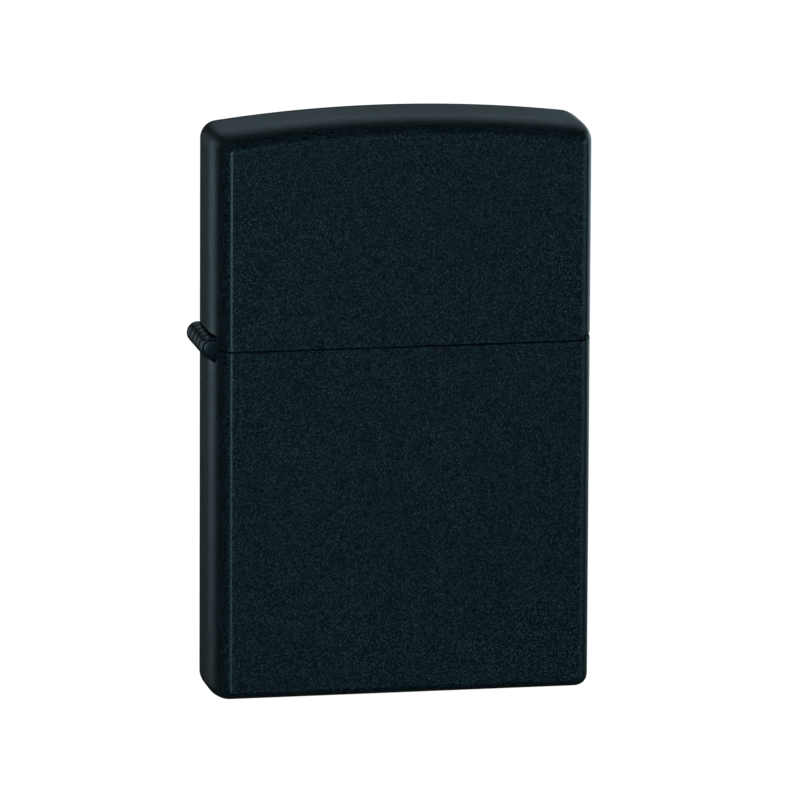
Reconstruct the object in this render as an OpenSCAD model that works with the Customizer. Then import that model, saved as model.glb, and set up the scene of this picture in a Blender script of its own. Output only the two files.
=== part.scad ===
// Flip-top petrol pocket lighter, closed: a coated sheet-brass case and lid on a five-knuckle
// hinge, round a steel insert that carries the chimney, striker wheel, flint, lid cam and wick.
// The origin is the centre of the flat underside. +X runs away from the hinge, -Y is the front
// face and +Z is up.

/* [Case] */
// Width of the case from side to side
case_w = 37.5; // [37:0.1:38.5]
// Thickness of the case from front to back
case_t = 12.7; // [12.6:0.1:14]
// Height of the closed lighter at the middle of its crowned top
case_h = 57; // [57:0.5:60]
// Height of the seam between case and lid
seam_h = 34.85; // [34.5:0.05:36]
// Width of the open seam line
seam_gap = 0.12; // [0.06:0.02:0.3]
// Thickness of the sheet brass of case and lid
wall = 0.6; // [0.5:0.05:0.65]
// Radius of the upright edges
edge_r = 2; // [1.6:0.1:2.2]
// Radius of the edges round the foot
foot_r = 1.3; // [1:0.1:1.8]
// Radius of the roll along the front and back of the lid's top
brow_r = 1.6; // [1.1:0.1:1.8]
// Radius of the roll at each end of the lid's top
brow_end_r = 1.6; // [1.1:0.1:2]
// Fall of the crowned top from its middle to its ends
crown_drop = 1.28; // [1:0.02:1.8]

/* [Hinge] */
// Length of the hinge barrel
barrel_l = 8.2; // [7:0.2:8.4]
// Outer radius of the knuckles
knuckle_r = 1.1; // [1.05:0.01:1.15]
// Radius of the hinge pin
pin_r = 0.7; // [0.6:0.02:0.7]
// Number of knuckles, shared in turn by the two leaves
knuckles = 5; // [3:2:5]
// Height of each leaf inside its wall
leaf_h = 8; // [6:0.5:9]

/* [Insert] */
// Height of the insert's deck above the seam
deck_rise = 3.2; // [3:0.1:3.2]
// Thickness of the insert from front to back
insert_t = 11; // [10.9:0.05:11.1]
// Thickness of the insert's sheet steel
insert_wall = 0.4; // [0.3:0.05:0.45]
// Thickness of the felt pad that closes the insert
felt_t = 2.4; // [2:0.1:3]

/* [Chimney] */
// Height of the chimney above the deck
chimney_h = 16.4; // [15.5:0.1:16.4]
// Thickness of the chimney from front to back
chimney_t = 8.6; // [8.2:0.1:8.8]
// Diameter of each vent hole
vent_d = 2.8; // [2.2:0.1:3]

/* [Striker] */
// Radius of the striker wheel over its teeth
wheel_r = 4.2; // [4:0.1:4.3]
// Width of the toothed rim
wheel_w = 5.8; // [5:0.1:6.2]
// Number of teeth round the wheel
wheel_teeth = 36; // [24:2:48]
// Diameter of the flint
flint_d = 2.5; // [2.3:0.1:2.5]
// Number of turns in the flint spring
spring_turns = 15; // [10:1:18]

/* [Wick] */
// Diameter of the wick
wick_d = 3; // [2.6:0.1:3.2]

/* [Hidden] */
$fn = 48;

// Case and lid
side_x = case_w / 2;
front_y = case_t / 2;
rim_z = seam_h - seam_gap / 2;
lid_z = seam_h + seam_gap / 2;
crown_r = (pow(side_x, 2) + pow(crown_drop, 2)) / (2 * crown_drop);
crown_fn = 360;
roll_lap = 0.02;
past = 1;
lip_cut = 0.35;

// Hinge
hinge_in = 0.05;
hinge_x = -side_x + hinge_in;
leaf_x = -side_x + wall;
leaf_t = knuckle_r - wall + hinge_in;
knuckle_gap = 0.08;
knuckle_pitch = barrel_l / knuckles;
bore_r = pin_r + 0.05;
pin_head_r = 0.9;
pin_head_l = 0.15;
sweep_r = 1.35;
notch_l = barrel_l + 2 * pin_head_l + 0.3;
notch_lap = 0.2;

// Insert
insert_x0 = -side_x + 1.3;
insert_x1 = side_x - 1;
insert_z0 = 0.9;
deck_z = seam_h + deck_rise;
deck_t = 0.5;
insert_r = edge_r - wall - 0.1;

// Chimney and the parts on it
sheet = 0.45;
chimney_x0 = -8.6;
chimney_x1 = 6.2;
chimney_top = deck_z + chimney_h;
chimney_y = chimney_t / 2;
wheel_x = 10.4;
wheel_z = deck_z + 9.3;
axle_r = 0.8;
running = 0.05;
hub_r = 1.7;
hub_play = 0.2;
tooth_depth = 0.28;
ear_r = 2.2;
guard_slope_x = 2.4;
guard_slope_z = 3.2;
vent_pitch_x = 4.3;
vent_pitch_z = 4.5;
vent_x = -1.6;
vent_z = deck_z + 8.6;
rivet_head_r = 1.3;
rivet_head_t = 0.3;
foot_head_r = 1.1;

// Lid cam and its leaf spring
cam_x = -12.85;
cam_z = deck_z + 3.2;
cam_w = 3.6;
cam_hub_r = 1.8;
cam_nose_r = 1.2;
cam_nose_x = -3.3;
cam_nose_z = 0.6;
cam_heel_x = 2.9;
cam_heel_z = 0.4;
cam_heel_r = 0.9;
lug_y = 2.1;
lug_r = 1.9;
lug_lap = 1;
spring_w = 2.8;
spring_t = 0.35;
spring_foot = 1.2;
spring_rivet_x = -15.6;
spring_bend_x = -13.8;
spring_tip_x = -9.7;
spring_tip_z = 2.3;

// Flint and its feed
tube_r = 1.9;
tube_bore_r = 1.4;
tube_z0 = 2.3;
tube_z1 = deck_z + 4.4;
flint_l = 5;
flint_gap = 0.06;
flint_wrap = 0.2;
flint_top = wheel_z - wheel_r + flint_wrap;
flint_z0 = flint_top - flint_l;
tip_l = 1.6;
tip_z0 = flint_z0 - tip_l;
screw_z0 = 1.2;
screw_head_r = 2.3;
screw_top = 7;
screw_slot = 0.6;
screw_slot_deep = 0.6;
wire_r = 0.2;
coil_play = 0.1;
coil_sides = 6;
coil_steps = 10;

// Wick, its wires and the packing
wick_x = -1.6;
wick_top = deck_z + 11;
wick_hole_r = wick_d / 2 + 0.4;
wick_wire_r = 0.12;
wick_route = [[wick_x, wick_top], [wick_x, 27.6], [-14.9, 27.6], [-14.9, 17.6], [6.6, 17.6],
              [6.6, 7]];
cotton_y = 5;
cotton_r = 2.4;
cotton_gap = 0.2;
cotton_wick_x = wick_d / 2 + 0.3;
cotton_end_x = -16.3;
cotton_tube_x = wheel_x - tube_r - cotton_gap;
cotton_top_z0 = 29.4;
cotton_top_z1 = deck_z - deck_t - 2 * cotton_gap;
cotton_fold_x = -13.1;
cotton_fold_z0 = 19.4;
cotton_fold_z1 = 25.8;
cotton_split_x = [-5.6, -5.3];
cotton_low_x1 = 4.8;
cotton_low_z1 = 15.8;
felt_z1 = insert_z0 + felt_t;
cotton_low_z0 = felt_z1 + cotton_gap;
felt_play = 0.3;

// Height of the crowned top at x, on a shell set in by t
function crown_z(x, t) = case_h - crown_r + sqrt(pow(crown_r - t, 2) - x * x);

// Flat rectangle with round corners, centred
module rounded_plate(w, d, r) {
    square([w - 2 * r, d], center = true);
    square([w, d - 2 * r], center = true);
    for (sx = [-1, 1], sy = [-1, 1])
        translate([sx * (w / 2 - r), sy * (d / 2 - r)]) circle(r);
}

// Upright plan of the case, set in by t, from z0 to z1
module case_prism(t, z0, z1) {
    translate([0, 0, z0])
        linear_extrude(z1 - z0)
            rounded_plate(case_w - 2 * t, case_t - 2 * t, edge_r - t);
}

// Outline with two round lower corners, half width hw, from z0 to z1
module foot_outline(hw, z0, z1, r) {
    translate([-hw, z0 + r]) square([2 * hw, z1 - z0 - r]);
    translate([-hw + r, z0]) square([2 * (hw - r), z1 - z0]);
    for (s = [-1, 1]) translate([s * (hw - r), z0 + r]) circle(r);
}

// Extrudes an outline drawn in X and Z through the thickness d
module across_y(d) {
    rotate([90, 0, 0]) linear_extrude(d, center = true) children();
}

// Extrudes an outline drawn in Y and Z along the width w
module across_x(w) {
    rotate([90, 0, 90]) linear_extrude(w, center = true) children();
}

// Lower form of the case, set in by t, up to z1
module tub(t, z1) {
    intersection() {
        case_prism(t, t, z1);
        across_y(case_t + past) foot_outline(side_x - t, t, z1 + past, foot_r - t);
        across_x(case_w + past) foot_outline(front_y - t, t, z1 + past, foot_r - t);
    }
}

// Disc whose rim is the crowned top with its rolled front and back edges
module crown_disc(t) {
    r = brow_r - t;
    translate([0, 0, case_h - crown_r])
        rotate([90, 0, 0])
            rotate_extrude($fn = crown_fn) {
                translate([0, -front_y + t]) square([crown_r - t - r, case_t - 2 * t]);
                translate([0, -front_y + t + r]) square([crown_r - t, case_t - 2 * t - 2 * r]);
                for (s = [-1, 1])
                    translate([crown_r - t - r, s * (front_y - t - r)]) circle(r, $fn = 48);
            }
}

// Outline of the lid across its width, with a rolled corner at each end
module brow_outline(t, z0) {
    r = brow_end_r - t;
    corner_x = side_x - t - r;
    corner_z = crown_z(corner_x, t) - r + roll_lap;
    translate([-side_x + t, z0]) square([2 * (side_x - t), corner_z - z0]);
    translate([-corner_x, z0]) square([2 * corner_x, case_h - z0]);
    for (s = [-1, 1]) translate([s * corner_x, corner_z]) circle(r);
}

// Upper form of the lid, set in by t, from z0
module cap(t, z0) {
    intersection() {
        case_prism(t, z0, case_h + past);
        crown_disc(t);
        across_y(case_t + past) brow_outline(t, z0 - past);
    }
}

// Room cut in the end walls for the hinge barrel
module barrel_notch() {
    translate([-side_x - past, -notch_l / 2, seam_h - sweep_r])
        cube([wall + past + notch_lap, notch_l, 2 * sweep_r]);
}

// Solid rod through the points of a route in X and Z
module rod(points, r, y = 0) {
    for (i = [0 : len(points) - 2]) {
        a = points[i];
        b = points[i + 1];
        run = norm(b - a);
        translate([a[0], y, a[1]])
            rotate([0, atan2(b[0] - a[0], b[1] - a[1]), 0])
                cylinder(r = r, h = run, $fn = 24);
    }
    for (i = [1 : len(points) - 2])
        translate([points[i][0], y, points[i][1]]) sphere(r, $fn = 24);
}

// Cushion with rounded edges between two corners
module cushion(x0, x1, z0, z1) {
    cx = (x0 + x1) / 2;
    cz = (z0 + z1) / 2;
    intersection() {
        translate([cx, 0, cz]) across_y(2 * cotton_y) rounded_plate(x1 - x0, z1 - z0, cotton_r);
        translate([cx, 0, cz]) across_x(x1 - x0) rounded_plate(2 * cotton_y, z1 - z0, cotton_r);
        translate([cx, 0, z0]) linear_extrude(z1 - z0) rounded_plate(x1 - x0, 2 * cotton_y, cotton_r);
    }
}

// Round headed rivet along Y, centred, with a head at each end
module rivet_y(x, z, r, span) {
    translate([x, 0, z])
        rotate([90, 0, 0]) {
            cylinder(r = r, h = span, center = true);
            for (s = [-1, 1])
                translate([0, 0, s * (span + rivet_head_t) / 2])
                    cylinder(r = rivet_head_r, h = rivet_head_t, center = true);
        }
}

// Hinge leaf: knuckles from first, every second one, and a plate on the wall
module hinge_leaf(first, up) {
    plate_z0 = seam_h + up * sweep_r;
    difference() {
        union() {
            for (i = [first : 2 : knuckles - 1])
                translate([0, -barrel_l / 2 + i * knuckle_pitch + knuckle_gap / 2, 0]) {
                    translate([hinge_x, 0, seam_h])
                        rotate([-90, 0, 0])
                            cylinder(r = knuckle_r, h = knuckle_pitch - knuckle_gap);
                    translate([leaf_x, 0, min(seam_h, plate_z0)])
                        cube([leaf_t, knuckle_pitch - knuckle_gap, sweep_r]);
                }
            translate([leaf_x, -barrel_l / 2, min(plate_z0, plate_z0 + up * (leaf_h - sweep_r))])
                cube([leaf_t, barrel_l, leaf_h - sweep_r]);
        }
        translate([hinge_x, 0, seam_h])
            rotate([90, 0, 0]) cylinder(r = bore_r, h = barrel_l + past, center = true);
    }
}

// Lower case, open at the top
module case_body() {
    color([0.06, 0.09, 0.1])
        difference() {
            tub(0, rim_z);
            tub(wall, seam_h + past);
            barrel_notch();
        }
}

// Lower hinge leaf with the outer and middle knuckles
module case_hinge_leaf() {
    color([0.1, 0.13, 0.14]) hinge_leaf(0, -1);
}

// Hinge pin with its ends peened over
module hinge_pin() {
    color([0.2, 0.22, 0.23])
        translate([hinge_x, 0, seam_h])
            rotate([90, 0, 0]) {
                cylinder(r = pin_r, h = barrel_l, center = true);
                for (s = [-1, 1])
                    translate([0, 0, s * (barrel_l + pin_head_l) / 2])
                        cylinder(r = pin_head_r, h = pin_head_l, center = true);
            }
}

// Lid with its crowned top and eased lip on the thumb side
module case_lid() {
    color([0.06, 0.09, 0.1])
        difference() {
            cap(0, lid_z);
            cap(wall, seam_h - past);
            barrel_notch();
            translate([side_x, 0, lid_z])
                rotate([0, 45, 0])
                    cube([sqrt(2) * lip_cut, case_t + past, sqrt(2) * lip_cut], center = true);
        }
}

// Upper hinge leaf with the two inner knuckles
module lid_hinge_leaf() {
    color([0.1, 0.13, 0.14]) hinge_leaf(1, 1);
}

// Flat plan of the insert, set in by t
module insert_plan(t) {
    translate([(insert_x0 + insert_x1) / 2, 0])
        rounded_plate(insert_x1 - insert_x0 - 2 * t, insert_t - 2 * t, insert_r - t);
}

// Steel box of the insert, open below, with holes for the wick, tube and rivet in its deck
module insert_shell() {
    color([0.72, 0.73, 0.74])
        difference() {
            translate([0, 0, insert_z0]) linear_extrude(deck_z - insert_z0) insert_plan(0);
            translate([0, 0, insert_z0 - past])
                linear_extrude(deck_z - deck_t - insert_z0 + past) insert_plan(insert_wall);
            translate([wick_x, 0, deck_z - past]) cylinder(r = wick_hole_r, h = 2 * past);
            translate([wheel_x, 0, deck_z - past]) cylinder(r = tube_r, h = 2 * past);
            translate([spring_rivet_x, 0, deck_z - past]) cylinder(r = axle_r, h = 2 * past);
        }
}

// Plan of the chimney, set in by t: round towards the cam, open towards the wheel
module chimney_plan(t, x1) {
    translate([chimney_x0 + chimney_y, 0]) circle(chimney_y - t);
    translate([chimney_x0 + chimney_y, -chimney_y + t])
        square([x1 - chimney_x0 - chimney_y, chimney_t - 2 * t]);
}

// Side outline of the chimney: tall wind guard, falling to a round ear at the wheel's axle
module chimney_side() {
    translate([chimney_x0 - past, deck_z])
        square([chimney_x1 - chimney_x0 + past, chimney_h]);
    translate([chimney_x0, deck_z]) square([wheel_x + ear_r - chimney_x0, wheel_z - deck_z]);
    translate([wheel_x, wheel_z]) circle(ear_r);
    translate([chimney_x1 - past, wheel_z - past])
        square([wheel_x - chimney_x1 + past, ear_r + past]);
    translate([chimney_x1, wheel_z + ear_r])
        polygon([[-past, -past], [guard_slope_x, 0], [0, guard_slope_z], [-past, guard_slope_z]]);
}

// One upright lug for the cam rivet, with its foot joined to the round end of the chimney
module cam_lug(s) {
    translate([0, s * (lug_y + sheet / 2), 0])
        across_y(sheet) {
            translate([cam_x, cam_z]) circle(lug_r);
            translate([cam_x - lug_r, deck_z]) square([2 * lug_r, cam_z - deck_z]);
            translate([cam_x, deck_z]) square([chimney_x0 + lug_lap - cam_x, cam_z - deck_z]);
        }
}

// Perforated wind guard with ears for the wheel and lugs for the cam
module chimney() {
    color([0.75, 0.76, 0.77])
        difference() {
            union() {
                intersection() {
                    difference() {
                        translate([0, 0, deck_z])
                            linear_extrude(chimney_h) chimney_plan(0, wheel_x + ear_r);
                        translate([0, 0, deck_z - past])
                            linear_extrude(chimney_h + 2 * past)
                                chimney_plan(sheet, wheel_x + ear_r + past);
                    }
                    across_y(chimney_t + past) chimney_side();
                }
                for (s = [-1, 1]) cam_lug(s);
            }
            for (i = [-1 : 1], k = [-1 : 0.5 : 1])
                if ((i == 0 && abs(k) == 0.5) || (i != 0 && abs(k) != 0.5))
                    translate([vent_x + i * vent_pitch_x, 0, vent_z + k * vent_pitch_z])
                        rotate([90, 0, 0]) cylinder(d = vent_d, h = case_t, center = true);
            translate([wheel_x, 0, wheel_z])
                rotate([90, 0, 0]) cylinder(r = axle_r, h = case_t, center = true);
            translate([cam_x, 0, cam_z])
                rotate([90, 0, 0]) cylinder(r = axle_r, h = case_t, center = true);
        }
}

// Rivet that carries the striker wheel between the chimney's ears
module wheel_axle() {
    color([0.7, 0.71, 0.72]) rivet_y(wheel_x, wheel_z, axle_r, chimney_t);
}

// Hardened wheel with file teeth round its rim and a plain hub each side
module striker_wheel() {
    color([0.3, 0.3, 0.31])
        translate([wheel_x, 0, wheel_z])
            rotate([90, 0, 0])
                difference() {
                    union() {
                        linear_extrude(wheel_w, center = true)
                            polygon([for (i = [0 : 2 * wheel_teeth - 1])
                                let (a = i * 180 / wheel_teeth,
                                     r = wheel_r - (i % 2) * tooth_depth)
                                [r * cos(a), r * sin(a)]]);
                        cylinder(r = hub_r, h = chimney_t - 2 * sheet - hub_play, center = true);
                    }
                    cylinder(r = axle_r + running, h = case_t, center = true);
                }
}

// Rivet that the lid cam turns on
module cam_rivet() {
    color([0.7, 0.71, 0.72]) rivet_y(cam_x, cam_z, axle_r, 2 * (lug_y + sheet));
}

// Side outline of the cam: hub, nose towards the lid and heel over the spring
module cam_outline() {
    circle(cam_hub_r);
    translate([cam_nose_x, cam_nose_z]) circle(cam_nose_r);
    translate([cam_heel_x, cam_heel_z]) circle(cam_heel_r);
    polygon([[0, cam_hub_r], [cam_nose_x, cam_nose_z + cam_nose_r],
             [cam_nose_x, cam_nose_z - cam_nose_r], [0, -cam_hub_r],
             [cam_heel_x, cam_heel_z - cam_heel_r], [cam_heel_x, cam_heel_z + cam_heel_r]]);
}

// Spring-loaded cam that snaps the lid open and shut
module lid_cam() {
    color([0.55, 0.56, 0.57])
        difference() {
            translate([cam_x, 0, cam_z]) across_y(cam_w) cam_outline();
            translate([cam_x, 0, cam_z])
                rotate([90, 0, 0]) cylinder(r = axle_r + running, h = case_t, center = true);
        }
}

// Leaf spring, riveted flat at the hinge end and rising under the cam's heel
module cam_spring() {
    color([0.6, 0.62, 0.66])
        difference() {
            across_y(spring_w) {
                translate([spring_rivet_x - spring_foot, deck_z])
                    square([spring_bend_x - spring_rivet_x + spring_foot, spring_t]);
                polygon([[spring_bend_x, deck_z], [spring_tip_x, deck_z + spring_tip_z],
                         [spring_tip_x, deck_z + spring_tip_z + spring_t],
                         [spring_bend_x, deck_z + spring_t]]);
            }
            translate([spring_rivet_x, 0, deck_z - past]) cylinder(r = axle_r, h = 2 * past);
        }
}

// Rivet that holds the leaf spring to the deck
module spring_rivet() {
    color([0.7, 0.71, 0.72])
        translate([spring_rivet_x, 0, deck_z - deck_t]) {
            cylinder(r = axle_r, h = deck_t + spring_t);
            translate([0, 0, deck_t + spring_t]) cylinder(r = foot_head_r, h = rivet_head_t);
            translate([0, 0, -rivet_head_t]) cylinder(r = foot_head_r, h = rivet_head_t);
        }
}

// Brass tube that guides the flint up to the wheel
module flint_tube() {
    color([0.8, 0.65, 0.35])
        translate([wheel_x, 0, tube_z0])
            difference() {
                cylinder(r = tube_r, h = tube_z1 - tube_z0);
                translate([0, 0, -past]) cylinder(r = tube_bore_r, h = tube_z1 - tube_z0 + 2 * past);
            }
}

// Flint, its top worn to the curve of the wheel
module flint() {
    color([0.35, 0.34, 0.33])
        difference() {
            translate([wheel_x, 0, flint_z0]) cylinder(d = flint_d, h = flint_l);
            translate([wheel_x, 0, wheel_z])
                rotate([90, 0, 0])
                    cylinder(r = wheel_r + flint_gap, h = case_t, center = true, $fn = 96);
        }
}

// Plug between the flint and its spring
module spring_tip() {
    color([0.8, 0.66, 0.38])
        translate([wheel_x, 0, tip_z0]) cylinder(r = flint_d / 2 + running, h = tip_l);
}

// Points of one ring of the coil's wire, i of n rings
function coil_ring(i, n, r, z0, z1, sides) =
    let (a = 360 * spring_turns * i / n, z = z0 + (z1 - z0) * i / n)
    [for (k = [0 : sides - 1])
        let (b = 360 * k / sides, q = r + wire_r * cos(b))
        [q * cos(a), q * sin(a), z + wire_r * sin(b)]];

// Coil of round wire about Z
module coil(r, z0, z1) {
    sides = coil_sides;
    n = spring_turns * coil_steps;
    points = [for (i = [0 : n]) each coil_ring(i, n, r, z0 + wire_r, z1 - wire_r, sides)];
    skin = [for (i = [0 : n - 1], k = [0 : sides - 1])
        let (a = i * sides + k, b = i * sides + (k + 1) % sides)
        each [[a, b, b + sides], [a, b + sides, a + sides]]];
    ends = [[for (k = [sides - 1 : -1 : 0]) k], [for (k = [0 : sides - 1]) n * sides + k]];
    polyhedron(points, concat(skin, ends));
}

// Long spring that feeds the flint
module flint_spring() {
    color([0.62, 0.63, 0.65])
        translate([wheel_x, 0, 0]) coil(tube_bore_r - wire_r - coil_play, screw_top, tip_z0);
}

// Slotted screw that closes the tube and seats the spring
module flint_screw() {
    color([0.8, 0.65, 0.35])
        translate([wheel_x, 0, screw_z0])
            difference() {
                union() {
                    cylinder(r = screw_head_r, h = tube_z0 - screw_z0);
                    cylinder(r = tube_bore_r, h = screw_top - screw_z0);
                }
                translate([-screw_head_r - past, -screw_slot / 2, -past])
                    cube([2 * (screw_head_r + past), screw_slot, past + screw_slot_deep]);
            }
}

// Wick, up through the deck and folded between the cotton balls
module wick() {
    color([0.9, 0.87, 0.78]) rod(wick_route, wick_d / 2);
}

// Copper wire braided along one face of the wick
module wick_wire(s) {
    color([0.78, 0.45, 0.25]) rod(wick_route, wick_wire_r, s * (wick_d / 2 + wick_wire_r));
}

// Copper wire on the front of the wick
module wick_wire_front() {
    wick_wire(-1);
}

// Copper wire on the rear of the wick
module wick_wire_rear() {
    wick_wire(1);
}

// Cotton ball left of the wick under the deck
module cotton_top_left() {
    color([0.93, 0.92, 0.88]) cushion(cotton_end_x, wick_x - cotton_wick_x, cotton_top_z0, cotton_top_z1);
}

// Cotton ball between the wick and the flint tube under the deck
module cotton_top_right() {
    color([0.93, 0.92, 0.88])
        cushion(wick_x + cotton_wick_x, cotton_tube_x, cotton_top_z0, cotton_top_z1);
}

// Cotton ball held in the wick's middle fold
module cotton_middle() {
    color([0.93, 0.92, 0.88]) cushion(cotton_fold_x, cotton_tube_x, cotton_fold_z0, cotton_fold_z1);
}

// Cotton ball low on the hinge side
module cotton_low_left() {
    color([0.93, 0.92, 0.88]) cushion(cotton_end_x, cotton_split_x[0], cotton_low_z0, cotton_low_z1);
}

// Cotton ball low beside the wick's end
module cotton_low_right() {
    color([0.93, 0.92, 0.88]) cushion(cotton_split_x[1], cotton_low_x1, cotton_low_z0, cotton_low_z1);
}

// Felt pad that closes the underside of the insert, cut out round the screw
module felt_pad() {
    color([0.82, 0.8, 0.74])
        difference() {
            translate([0, 0, insert_z0]) linear_extrude(felt_t) insert_plan(insert_wall);
            translate([wheel_x, 0, insert_z0 - past])
                cylinder(r = screw_head_r + felt_play, h = felt_t + 2 * past);
        }
}

case_body();
case_hinge_leaf();
hinge_pin();
case_lid();
lid_hinge_leaf();
insert_shell();
chimney();
wheel_axle();
striker_wheel();
cam_rivet();
lid_cam();
cam_spring();
spring_rivet();
flint_tube();
flint();
spring_tip();
flint_spring();
flint_screw();
wick();
wick_wire_front();
wick_wire_rear();
cotton_top_left();
cotton_top_right();
cotton_middle();
cotton_low_left();
cotton_low_right();
felt_pad();
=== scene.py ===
"""Looks of a closed flip-top petrol lighter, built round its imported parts."""

import logging
import math
from abc import ABC, abstractmethod
from dataclasses import dataclass
from enum import Enum
from typing import Any, Callable, ClassVar, Iterable, Sequence

import bmesh
import bpy
from bmesh.types import BMEdge, BMesh, BMVert
from bpy.types import NodeSocket, Object
from mathutils import Matrix, Vector, noise


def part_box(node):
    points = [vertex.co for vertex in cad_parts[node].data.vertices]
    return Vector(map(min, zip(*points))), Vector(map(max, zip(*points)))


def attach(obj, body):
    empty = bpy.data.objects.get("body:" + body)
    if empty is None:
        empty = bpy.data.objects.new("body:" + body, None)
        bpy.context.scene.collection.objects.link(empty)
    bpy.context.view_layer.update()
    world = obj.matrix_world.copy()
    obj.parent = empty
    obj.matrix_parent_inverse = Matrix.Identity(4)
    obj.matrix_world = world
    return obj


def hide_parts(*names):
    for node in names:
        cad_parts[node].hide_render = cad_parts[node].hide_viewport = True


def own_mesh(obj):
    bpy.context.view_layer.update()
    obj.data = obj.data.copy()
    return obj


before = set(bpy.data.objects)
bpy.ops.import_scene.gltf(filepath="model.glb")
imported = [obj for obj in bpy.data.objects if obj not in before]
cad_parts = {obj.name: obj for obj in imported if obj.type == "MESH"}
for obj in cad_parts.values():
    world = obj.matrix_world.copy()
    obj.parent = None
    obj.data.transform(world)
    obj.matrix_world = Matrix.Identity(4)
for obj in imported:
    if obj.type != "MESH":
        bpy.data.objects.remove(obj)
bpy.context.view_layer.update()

logging.basicConfig(level=logging.INFO, format="%(message)s")
log = logging.getLogger("lighter")

MM = 0.001
PAST = 0.02 * MM
SEAM = 34.85 * MM
DECK = 38.05 * MM
WALL = 0.6 * MM
HALF_W = 18.75 * MM
HALF_T = 6.35 * MM
EDGE_R = 1.75 * MM
PILLOW = 2.8
ROLL_STEPS = 40
SEAM_GAP = 0.08 * MM
RIM_EASE = 0.07 * MM
HINGE_X = -18.7 * MM
NOTCH_HALF = 4.4 * MM
NOTCH_R = 1.35 * MM
WHEEL_X = 10.4 * MM
WHEEL_Z = 47.35 * MM
CAM_X = -12.85 * MM
CAM_Z = 41.25 * MM
SPRING_RIVET_X = -15.6 * MM
RIVET_R = 0.8 * MM
WICK_X = -1.6 * MM


class Body(Enum):
    """The moving groups that the pieces ride on."""

    CASE = "case"
    LID = "lid"
    INSERT = "insert"
    WHEEL = "wheel"
    CAM = "cam"


class Slot(Enum):
    """The record's material slots."""

    COAT = "black_coat"
    HINGE = "hinge_coat"
    SHEET = "insert_steel"
    RIVET = "rivet_steel"
    WHEEL = "wheel_steel"
    SPRING = "spring_steel"
    WICK = "wick_cotton"
    COPPER = "copper"
    COTTON = "cotton"
    FELT = "felt"


class Axis(Enum):
    """The row frame's axes."""

    X = (1.0, 0.0, 0.0)
    Y = (0.0, 1.0, 0.0)
    Z = (0.0, 0.0, 1.0)

    @property
    def vector(self) -> Vector:
        """The axis as a vector."""
        return Vector(self.value)


# Shader graph


class Wire:
    """A shader socket that answers to arithmetic, each sign adding a Math node."""

    def __init__(self, graph: "Graph", socket: NodeSocket) -> None:
        """Keeps the graph and the socket."""
        self.graph = graph
        self.socket = socket

    def _sum(self, operation: str, first: Any, second: Any) -> "Wire":
        """Adds one Math node.

        Args:
            operation: the Math node's operation.
            first: its first input, a Wire or a number.
            second: its second input, a Wire or a number.

        Returns:
            The node's result.
        """
        return self.graph.add("ShaderNodeMath", {"operation": operation}, {0: first, 1: second})

    def __add__(self, other: Any) -> "Wire":
        """Sum."""
        return self._sum("ADD", self, other)

    def __sub__(self, other: Any) -> "Wire":
        """Difference."""
        return self._sum("SUBTRACT", self, other)

    def __mul__(self, other: Any) -> "Wire":
        """Product."""
        return self._sum("MULTIPLY", self, other)


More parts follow.
